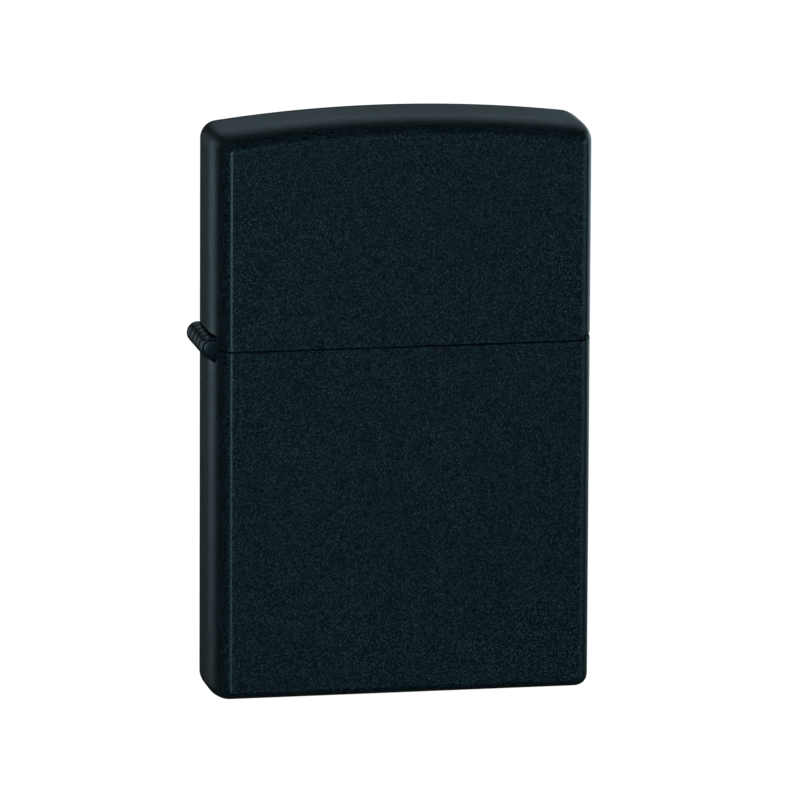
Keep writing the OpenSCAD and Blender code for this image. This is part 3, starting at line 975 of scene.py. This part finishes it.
@dataclass
class InsertShell:
    """The insert's box, its felt and its packing."""

    x0: float = -17.45 * MM
    x1: float = 17.75 * MM
    half_t: float = 5.5 * MM
    foot: float = 0.9 * MM
    wall: float = 0.4 * MM
    corner_r: float = 1.3 * MM
    brow_r: float = 0.35 * MM
    hole_r: float = 1.9 * MM
    felt_t: float = 2.4 * MM
    felt_hole: float = 2.6 * MM

    def outline(self, inset: float) -> BMesh:
        """The insert's round-cornered plan as an edge loop at height zero.

        Args:
            inset: how far it is set in.

        Returns:
            The loop.
        """
        bm = bmesh.new()
        low, high, half = self.x0 + inset, self.x1 - inset, self.half_t - inset
        corners = chain(bm, [Vector((low, -half, 0)), Vector((high, -half, 0)),
                             Vector((high, half, 0)), Vector((low, half, 0))], True)
        round_corner(bm, corners, self.corner_r - min(inset, 0.5 * MM), 8)
        return bm

    def hole(self, bm: BMesh, x: float, radius: float) -> None:
        """Adds a round hole's edge loop on the middle line."""
        bmesh.ops.create_circle(bm, cap_ends=False, segments=40, radius=radius,
                                matrix=Matrix.Translation((x, 0, 0)))

    def shell(self) -> None:
        """Builds the box: a holed deck with rolled edges and plain walls."""
        bm = self.outline(self.brow_r)
        rim = list(bm.edges)
        for x, radius in ((WICK_X, self.hole_r), (WHEEL_X, self.hole_r),
                          (SPRING_RIVET_X, RIVET_R)):
            self.hole(bm, x, radius)
        fill(bm, (0, 0, 1))
        middle = (self.x0 + self.x1) / 2
        drops = [(self.brow_r * math.sin(math.radians(a)),
                  self.brow_r * (1 - math.cos(math.radians(a)))) for a in (22.5, 45, 67.5, 90)]
        out, down = 0.0, 0.0
        for reach, fall in [*drops, (self.brow_r, DECK - self.foot)]:
            made = bmesh.ops.extrude_edge_only(bm, edges=rim)
            verts = fresh_verts(made)
            rim = [item for item in made["geom"] if isinstance(item, BMEdge)
                   and all(v in verts for v in item.verts)]
            for vert in verts:
                vert.co.x += math.copysign(reach - out, vert.co.x - middle)
                vert.co.y += math.copysign(reach - out, vert.co.y)
                vert.co.z -= fall - down
            out, down = reach, fall
        shift(bm, (0, 0, DECK))
        bmesh.ops.recalc_face_normals(bm, faces=bm.faces)
        if sum(f.normal.z * f.calc_area() for f in bm.faces) < 0:
            bmesh.ops.reverse_faces(bm, faces=bm.faces)
        settle("insert_box", bm, Body.INSERT, SHELL_STEEL, ["insert_shell"],
               Edging(wall=self.wall, bevel=0.06 * MM))

    def felt(self) -> None:
        """Builds the felt pad, softly edged, cut out round the flint screw."""
        bm = self.outline(self.wall)
        self.hole(bm, WHEEL_X, self.felt_hole)
        fill(bm, (0, 0, 1))
        thicken(bm, Vector((0, 0, self.felt_t)))
        shift(bm, (0, 0, self.foot))
        piece = settle("felt_sole", bm, Body.INSERT, WOOL_FELT, ["felt_pad"],
                       Edging(bevel=0.3 * MM, bevel_steps=4))

    def ball(self, node: str, seed: float) -> None:
        """Builds one lump of wadding, filling its CAD solid unevenly.

        Args:
            node: the CAD node it stands for.
            seed: sets its lumps.
        """
        low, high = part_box(node)
        middle, half = (low + high) / 2, (high - low) / 2
        bm = bmesh.new()
        bmesh.ops.create_icosphere(bm, subdivisions=5, radius=1.0)
        for vert in bm.verts:
            way = vert.co.copy()
            fat = Vector(tuple(math.copysign(abs(part) ** 0.45, part) for part in way))
            lump = 0.94 + 0.05 * noise.fractal(way * 2.6 + Vector((seed, 0, 0)), 0.8, 2.1, 4)
            fat = fat / max(1.0, max(abs(part) for part in fat))
            vert.co = middle + Vector(tuple(f * h for f, h in zip(fat, half))) * min(lump, 0.99)
        piece = settle(node + "_wadding", bm, Body.INSERT, COTTON_WOOL, [node])

    def build(self) -> None:
        """Builds the box, the felt and the wadding."""
        self.shell()
        self.felt()
        for seed, node in enumerate(("cotton_top_left", "cotton_top_right", "cotton_middle",
                                     "cotton_low_left", "cotton_low_right")):
            self.ball(node, 7.3 * seed)


@dataclass
class Chimney:
    """The perforated wind guard and the lugs that hold the cam."""

    x0: float = -8.6 * MM
    x1: float = 6.2 * MM
    half_t: float = 4.3 * MM
    sheet: float = 0.45 * MM
    top: float = 54.45 * MM
    ear_r: float = 2.2 * MM
    step_r: float = 1.2 * MM
    brow_r: float = 0.9 * MM
    vent_r: float = 1.4 * MM
    vent_pitch: tuple[float, float] = (4.3 * MM, 4.5 * MM)
    vent_x: float = -1.6 * MM
    vent_z: float = DECK + 8.6 * MM
    slope: tuple[float, float] = (2.4 * MM, 3.2 * MM)
    bend_cuts: int = 20
    lug_y: float = 2.325 * MM
    lug_r: float = 1.9 * MM

    @property
    def bend_r(self) -> float:
        """Radius of the sheet's middle at the round end."""
        return self.half_t - self.sheet / 2

    @property
    def bend_x(self) -> float:
        """Where the round end meets the straight sides."""
        return self.x0 + self.half_t

    def run(self, x: float) -> float:
        """Distance along the sheet from the round end's tip to x on a side.

        Args:
            x: the place on a side, in the row frame.

        Returns:
            The distance along the sheet's middle.
        """
        quarter = self.bend_r * math.pi / 2
        if x >= self.bend_x:
            return quarter + x - self.bend_x
        return quarter - self.bend_r * math.asin((self.bend_x - x) / self.bend_r)

    def blank(self) -> BMesh:
        """The guard's sheet, punched and cut but still flat.

        Returns:
            The flat sheet, its length along X.
        """
        ear_x = self.run(WHEEL_X + self.ear_r)
        ear_top = WHEEL_Z + self.ear_r
        side = [(ear_x, DECK), (ear_x, ear_top),
                (self.run(self.x1) + self.slope[0], ear_top),
                (self.run(self.x1), ear_top + self.slope[1]), (self.run(self.x1), self.top)]
        outline = side + [(-x, z) for x, z in reversed(side)]
        rounds = {1: self.ear_r, 8: self.ear_r, 2: self.step_r, 7: self.step_r,
                  4: self.brow_r, 5: self.brow_r}
        holes = [(way * self.run(WHEEL_X), WHEEL_Z, RIVET_R) for way in (-1, 1)]
        for column in (-1, 0, 1):
            rows = (-0.5, 0.5) if column == 0 else (-1, 0, 1)
            for row in rows:
                x = self.run(self.vent_x + column * self.vent_pitch[0])
                z = self.vent_z + row * self.vent_pitch[1]
                holes += [(way * x, z, self.vent_r) for way in (-1, 1)]
        return plate(outline, rounds, holes)

    def body_of_sheet(self, bm: BMesh) -> None:
        """Gives a flat sheet its thickness, half to each side."""
        thicken(bm, Vector((0, self.sheet, 0)))
        shift(bm, (0, -self.sheet / 2, 0))

    def bend(self, bm: BMesh) -> None:
        """Bends the flat sheet round the end and brings its sides parallel.

        Args:
            bm: the flat sheet.
        """
        quarter = self.bend_r * math.pi / 2
        for i in range(-self.bend_cuts, self.bend_cuts + 1):
            cut(bm, Vector((i / self.bend_cuts * quarter, 0, 0)), Axis.X.vector)
        for vert in bm.verts:
            run, radius = vert.co.x, self.bend_r + vert.co.y
            turn = max(-quarter, min(quarter, run)) / self.bend_r
            past = abs(run) - quarter if abs(run) > quarter else 0.0
            vert.co.x = self.bend_x - radius * math.cos(turn) + past
            vert.co.y = radius * math.sin(turn)

    def lug(self, side: int) -> BMesh:
        """One lug for the cam's rivet.

        Args:
            side: -1 in front or 1 behind.

        Returns:
            Its sheet.
        """
        left, top = CAM_X - self.lug_r, CAM_Z + self.lug_r
        right = self.x0 + 0.8 * MM
        outline = [(left, DECK), (right, DECK), (right, CAM_Z - 0.4 * MM),
                   (CAM_X + self.lug_r, CAM_Z), (CAM_X + self.lug_r, top), (left, top)]
        bm = plate(outline, {5: self.lug_r, 4: self.lug_r * 0.98, 3: 0.6 * MM},
                   [(CAM_X, CAM_Z, RIVET_R)])
        self.body_of_sheet(bm)
        shift(bm, (0, side * self.lug_y, 0))
        return bm

    def build(self) -> None:
        """Builds the guard with its lugs."""
        bm = self.blank()
        self.body_of_sheet(bm)
        self.bend(bm)
        bmesh.ops.recalc_face_normals(bm, faces=bm.faces)
        whole = merged(bm, self.lug(-1), self.lug(1))
        settle("wind_guard", whole, Body.INSERT, GUARD_STEEL, ["chimney"],
               Edging(sharp=30.0))


@dataclass
class Hardware:
    """Rivets, springs, tube and screw of the insert."""

    head_r: float = 1.3 * MM
    head_t: float = 0.3 * MM
    head_ease: float = 0.03 * MM
    wheel_span: float = 4.3 * MM
    cam_span: float = 2.55 * MM
    coil_r: float = 1.1 * MM
    wire_r: float = 0.2 * MM
    coil_z: tuple[float, float] = (7.0 * MM, 36.75 * MM)
    turns: int = 15
    turn_steps: int = 16
    feed: float = 1.2 * MM

    def rivet(self, name: str, node: str, x: float, z: float, half: float) -> None:
        """Builds a cross rivet with a low dome at each end.

        Args:
            name: the piece's name.
            node: the CAD node it stands for.
            x: its place across.
            z: its height.
            half: half the span between its heads.
        """
        dome = [(RIVET_R, half)] + [
            (self.head_r * reach, half + self.head_t * rise)
            for reach, rise in ((1.0, 0.0), (0.93, 0.5), (0.68, 0.86), (0.35, 0.99))]
        bm = turned(both_ends(dome, half + self.head_t), Vector((x, 0, z)), Axis.Y,
                    ease=self.head_ease, steps=32)
        settle(name, bm, Body.INSERT, RIVET_STEEL, [node], Edging(sharp=50.0))

    def deck_rivet(self) -> None:
        """Builds the small rivet that holds the leaf spring."""
        top, low, reach = 0.35 * MM, -0.5 * MM, 1.1 * MM
        profile = [(0.0, low - self.head_t), (reach, low - self.head_t), (reach, low),
                   (RIVET_R, low), (RIVET_R, top), (reach, top),
                   (1.0 * MM, top + 0.17 * MM), (0.6 * MM, top + 0.28 * MM),
                   (0.0, top + self.head_t)]
        bm = turned(profile, Vector((SPRING_RIVET_X, 0, DECK)), Axis.Z,
                    ease=self.head_ease, steps=32)
        settle("leaf_spring_rivet", bm, Body.INSERT, RIVET_STEEL,
               ["spring_rivet"], Edging(sharp=50.0))

    def coil(self) -> None:
        """Builds the round wire spring under the flint, which the flint presses down."""
        low, high = self.coil_z[0] + self.wire_r, self.coil_z[1] - self.wire_r
        count = self.turns * self.turn_steps
        turns = [i / self.turn_steps * math.tau for i in range(count + 1)]
        path = [Vector((WHEEL_X + self.coil_r * math.cos(turn), self.coil_r * math.sin(turn),
                        low + (high - low) * i / count)) for i, turn in enumerate(turns)]
        bm = rope("coil", [path], self.wire_r, 2, False)
        piece = settle("flint_coil", bm, Body.INSERT, SPRING_STEEL, ["flint_spring"],
                       Edging(sharp=60.0))
        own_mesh(piece)

    def build(self) -> None:
        """Builds the hardware and dresses what keeps its CAD shape."""
        self.rivet("wheel_rivet", "wheel_axle", WHEEL_X, WHEEL_Z, self.wheel_span)
        self.rivet("cam_pivot_rivet", "cam_rivet", CAM_X, CAM_Z, self.cam_span)
        self.deck_rivet()
        self.coil()
        for node, finish in (("cam_spring", SPRING_STEEL), ("flint_tube", BRASS),
                             ("flint_screw", BRASS), ("spring_tip", BRASS),
                             ("flint", FLINT_ALLOY)):
            dress(node, finish)


@dataclass
class Wick:
    """The braided wick and the copper wires laid in it."""

    radius: float = 1.5 * MM
    top: float = DECK + 11.0 * MM
    braid_r: float = 0.3 * MM
    strands: int = 8
    braid_steps: int = 56
    wire_steps: int = 28
    pitch: float = 7.5 * MM
    lay_from: float = DECK - 2.0 * MM
    wire_r: float = 0.12 * MM
    ease: float = 3.2 * MM

    @property
    def route(self) -> list[Vector]:
        """The corners that the wick runs through, from its tip down into the packing."""
        return [Vector((WICK_X, 0, self.top))] + [Vector((x * MM, 0, z * MM)) for x, z in (
            (-1.6, 27.6), (-14.9, 27.6), (-14.9, 17.6), (6.6, 17.6), (6.6, 7.0))]

    def eased(self, side: float = 0.0) -> list[Vector]:
        """The route with extra points that round its corners.

        Args:
            side: how far it is moved along Y.

        Returns:
            The points.
        """
        corners = self.route
        path = [corners[0]]
        for before, corner, after in zip(corners, corners[1:], corners[2:]):
            path += [corner + (before - corner).normalized() * self.ease, corner,
                     corner + (after - corner).normalized() * self.ease]
        path.append(corners[-1])
        return [point + Vector((0, side, 0)) for point in path]

    def core(self) -> BMesh:
        """The wick's body, all along its route."""
        return rope("wick_body", [self.eased()], self.radius - self.braid_r * 0.9, 5)

    def braid(self) -> BMesh:
        """Crossing strands over the part of the wick that shows.

        Returns:
            The strands.
        """
        paths = []
        steps = self.braid_steps
        height = self.top - self.lay_from
        for way in (-1, 1):
            for index in range(self.strands):
                path = []
                for i in range(steps + 1):
                    rise = height * i / steps
                    turn = way * rise / self.pitch * math.tau + index / self.strands * math.tau
                    phase = 0.0 if way > 0 else math.pi
                    cross = math.cos(rise / self.pitch * self.strands * math.tau + phase)
                    reach = self.radius - self.braid_r * 0.75 + cross * self.braid_r * 0.22
                    path.append(Vector((WICK_X + reach * math.cos(turn), reach * math.sin(turn),
                                        self.lay_from + rise)))
                paths.append(path)
        return rope("braid", paths, self.braid_r, 1, False)

    def wire(self, side: int) -> None:
        """Builds one copper wire, rising and dipping with the braid.

        Args:
            side: -1 in front or 1 behind.
        """
        name = "front" if side < 0 else "rear"
        offset = side * (self.radius + self.wire_r)
        path = self.eased(offset)
        steps = self.wire_steps
        show = [Vector((WICK_X + 0.35 * MM * math.sin(i / steps * 3.0 * math.tau), offset,
                        self.top - (self.top - 32.0 * MM) * i / steps)) for i in range(steps + 1)]
        bm = rope("copper", [show + path[1:]], self.wire_r, 2)
        settle(f"copper_wire_{name}", bm, Body.INSERT, COPPER,
               [f"wick_wire_{name}"], Edging(sharp=70.0))

    def build(self) -> None:
        """Builds the wick and its wires."""
        settle("braided_wick", merged(self.core(), self.braid()), Body.INSERT, WICK_YARN,
               ["wick"], Edging(sharp=70.0))
        self.wire(-1)
        self.wire(1)


# Moving pieces of the insert


@dataclass
class StrikerWheel:
    """The file-cut wheel that strikes the flint."""

    radius: float = 4.2 * MM
    half_w: float = 2.9 * MM
    depth: float = 0.3 * MM
    teeth: int = 34
    lean: float = 0.9
    bevel: float = 0.45 * MM
    dish_t: float = 0.25 * MM
    hub_r: float = 1.7 * MM
    hub_half: float = 3.75 * MM
    bore_r: float = 0.85 * MM
    steps: int = 272
    rows: int = 30

    def knurl(self, turn: float, place: float) -> float:
        """Depth of the crossed file cuts.

        Args:
            turn: the angle round the wheel.
            place: the place across it, from -1 to 1.

        Returns:
            The cut's depth, from 0 on a tooth's tip to 1 in a groove.
        """
        pair = [abs((self.teeth * (turn / math.tau + way * self.lean * place / 12)) % 1.0 - 0.5) * 2
                for way in (-1, 1)]
        return max(pair) ** 1.6

    def rim(self) -> BMesh:
        """The toothed rim with its side faces and hub.

        Returns:
            Its mesh.
        """
        face_h = self.half_w - self.bevel
        tread = [(self.radius, -face_h + 2 * face_h * i / self.rows) for i in range(self.rows + 1)]
        dish = self.half_w - self.dish_t
        side = [(self.bore_r, self.hub_half), (self.hub_r, self.hub_half), (self.hub_r, dish),
                (self.radius - 1.0 * MM, dish), (self.radius - 0.8 * MM, self.half_w),
                (self.radius - self.bevel, self.half_w)]
        profile = [(r, -h) for r, h in side] + tread + side[::-1]
        bm = turned(profile, Vector((0, 0, 0)), Axis.Y, closed=True, steps=self.steps)
        for vert in bm.verts:
            reach = math.hypot(vert.co.x, vert.co.z)
            if reach > self.radius - PAST:
                turn = math.atan2(vert.co.z, vert.co.x)
                cut_in = self.depth * self.knurl(turn, vert.co.y / self.half_w)
                scale = (reach - cut_in) / reach
                vert.co.x *= scale
                vert.co.z *= scale
        shift(bm, (WHEEL_X, 0, WHEEL_Z))
        return bm

    def build(self) -> None:
        """Builds the wheel."""
        settle("file_wheel", self.rim(), Body.WHEEL, WHEEL_STEEL, ["striker_wheel"],
               Edging(sharp=35.0))


@dataclass
class LidCam:
    """The cam under the lid's leaf."""

    width: float = 3.6 * MM
    bore_r: float = 0.85 * MM
    discs: tuple[tuple[float, float, float], ...] = (
        (0.0, 0.0, 1.8), (-3.3, 0.6, 1.2), (2.9, 0.4, 0.9))

    def build(self) -> None:
        """Builds the cam as the plate that wraps its hub, nose and heel."""
        wrap = bmesh.new()
        for x, z, radius in self.discs:
            bmesh.ops.create_circle(wrap, cap_ends=False, segments=48, radius=radius * MM,
                                    matrix=Matrix.Translation((x * MM, z * MM, 0)))
        points = [vert.co.copy() for vert in wrap.verts]
        wrap.free()
        rim = self.hull_corners(points)
        bm = plate([(x, z) for x, z in rim], {}, [(0.0, 0.0, self.bore_r)])
        thicken(bm, Vector((0, self.width, 0)))
        shift(bm, (CAM_X, -self.width / 2, CAM_Z))
        settle("lid_cam_piece", bm, Body.CAM, SPRING_STEEL, ["lid_cam"],
               Edging(bevel=0.12 * MM, bevel_steps=3))

    def hull_corners(self, points: Sequence[Vector]) -> list[tuple[float, float]]:
        """The outer corners of the discs taken together, in order.

        Args:
            points: points on the discs' rims.

        Returns:
            The corners in X and Z.
        """
        middle = sum(points, Vector((0, 0, 0))) / len(points)
        ring = []
        for i in range(96):
            way = Vector((math.cos(i / 96 * math.tau), math.sin(i / 96 * math.tau), 0))
            far = max(points, key=lambda p: p.dot(way))
            corner = (round(far.x, 7), round(far.y, 7))
            if corner not in ring:
                ring.append(corner)
        ring.sort(key=lambda c: math.atan2(c[1] - middle.y, c[0] - middle.x))
        return ring


# Studio


@dataclass(frozen=True)
class Softbox:
    """A soft rectangular light aimed at the lighter."""

    name: str
    bearing: float
    height: float
    size: tuple[float, float]
    glow: float
    reach: float = 0.9
    tint: Colour = (0.64, 0.9, 1.0)

    def hang(self, aim: Vector) -> None:
        """Hangs the light.

        Args:
            aim: the point it faces.
        """
        lamp = bpy.data.lights.new(self.name, "AREA")
        lamp.shape = "RECTANGLE"
        lamp.size, lamp.size_y = self.size
        lamp.color = self.tint
        lamp.energy = self.glow * math.pi * self.size[0] * self.size[1]
        holder = put(self.name, lamp)
        turn, rise = math.radians(self.bearing), math.radians(self.height)
        way = Vector((-math.sin(turn) * math.cos(rise), -math.cos(turn) * math.cos(rise),
                      math.sin(rise)))
        holder.location = aim + way * self.reach
        holder.rotation_euler = (-way).to_track_quat("-Z", "Y").to_euler()


@dataclass
class Studio:
    """Floor, lights and camera.

    A softbox's bearing is counted from the front towards the hinge end, its height from level.
    """

    azimuth: float = -11.0
    elevation: float = 12.0
    roll: float = 0.29
    distance: float = 1.1
    lens: float = 509.6
    aim: tuple[float, float] = (0.54 * MM, -0.21 * MM)
    floor_size: float = 6.0
    sky: float = 0.025
    lit_z: float = 30.0 * MM
    seen_z: float = 28.5 * MM
    boxes: tuple[Softbox, ...] = (
        Softbox("rear_softbox", -168.0, 27.0, (0.7, 0.4), 0.62),
        Softbox("rear_left_softbox", 150.0, 1.5, (0.17, 0.5), 1.85),
        Softbox("front_left_strip", 26.0, 4.0, (0.3, 0.5), 38.0, tint=(0.88, 0.93, 1.0)),
        Softbox("front_card", -25.0, 0.0, (0.9, 0.4), 0.6),
        Softbox("right_softbox", -72.0, 6.0, (0.9, 0.5), 4.2),
        Softbox("right_strip", -132.0, 6.0, (0.25, 0.5), 0.8),
        Softbox("rear_card", -150.0, -3.0, (0.5, 0.3), 1.3),
        Softbox("front_top_softbox", -5.0, 38.0, (0.6, 0.3), 1.0),
    )

    def floor(self) -> None:
        """Lays the floor."""
        bm = bmesh.new()
        bmesh.ops.create_grid(bm, x_segments=1, y_segments=1, size=self.floor_size)
        mesh = bpy.data.meshes.new("floor")
        bm.to_mesh(mesh)
        bm.free()
        mesh.materials.append(PaleFloor().material())
        ground = put("floor", mesh)
        ground.visible_glossy = False
        ground.visible_diffuse = False

    def light(self) -> None:
        """Hangs the softboxes and sets the room's even light."""
        for box in self.boxes:
            box.hang(Vector((0, 0, self.lit_z)))
        world = bpy.data.worlds.new("room")
        world.use_nodes = True
        world.node_tree.nodes["Background"].inputs["Color"].default_value = (*[self.sky] * 3, 1.0)
        bpy.context.scene.world = world
        bpy.context.scene.view_settings.view_transform = "Standard"

    def camera(self) -> None:
        """Sets up the camera."""
        a, e = math.radians(self.azimuth), math.radians(self.elevation)
        back = Vector((math.sin(a) * math.cos(e), -math.cos(a) * math.cos(e), math.sin(e)))
        level = Vector((math.cos(a), math.sin(a), 0.0))
        rise = back.cross(level)
        r = math.radians(self.roll)
        right = level * math.cos(r) + rise * math.sin(r)
        up = rise * math.cos(r) - level * math.sin(r)
        target = Vector((0, 0, self.seen_z)) + right * self.aim[0] + up * self.aim[1]
        lens = bpy.data.cameras.new("camera")
        lens.lens = self.lens
        lens.sensor_width = 36.0
        lens.clip_start = 0.01
        eye = put("camera", lens)
        turn = Matrix((right, up, back)).transposed().to_4x4()
        eye.matrix_world = Matrix.Translation(target + back * self.distance) @ turn
        bpy.context.scene.camera = eye

    def build(self) -> None:
        """Builds the whole studio."""
        self.floor()
        self.light()
        self.camera()


def main() -> None:
    """Builds every sub-assembly in order."""
    for assembly in (CaseAssembly(), LidAssembly(), InsertShell(), Chimney(), Hardware(), Wick(),
                     StrikerWheel(), LidCam(), Studio()):
        assembly.build()


if __name__ == "__main__":
    main()
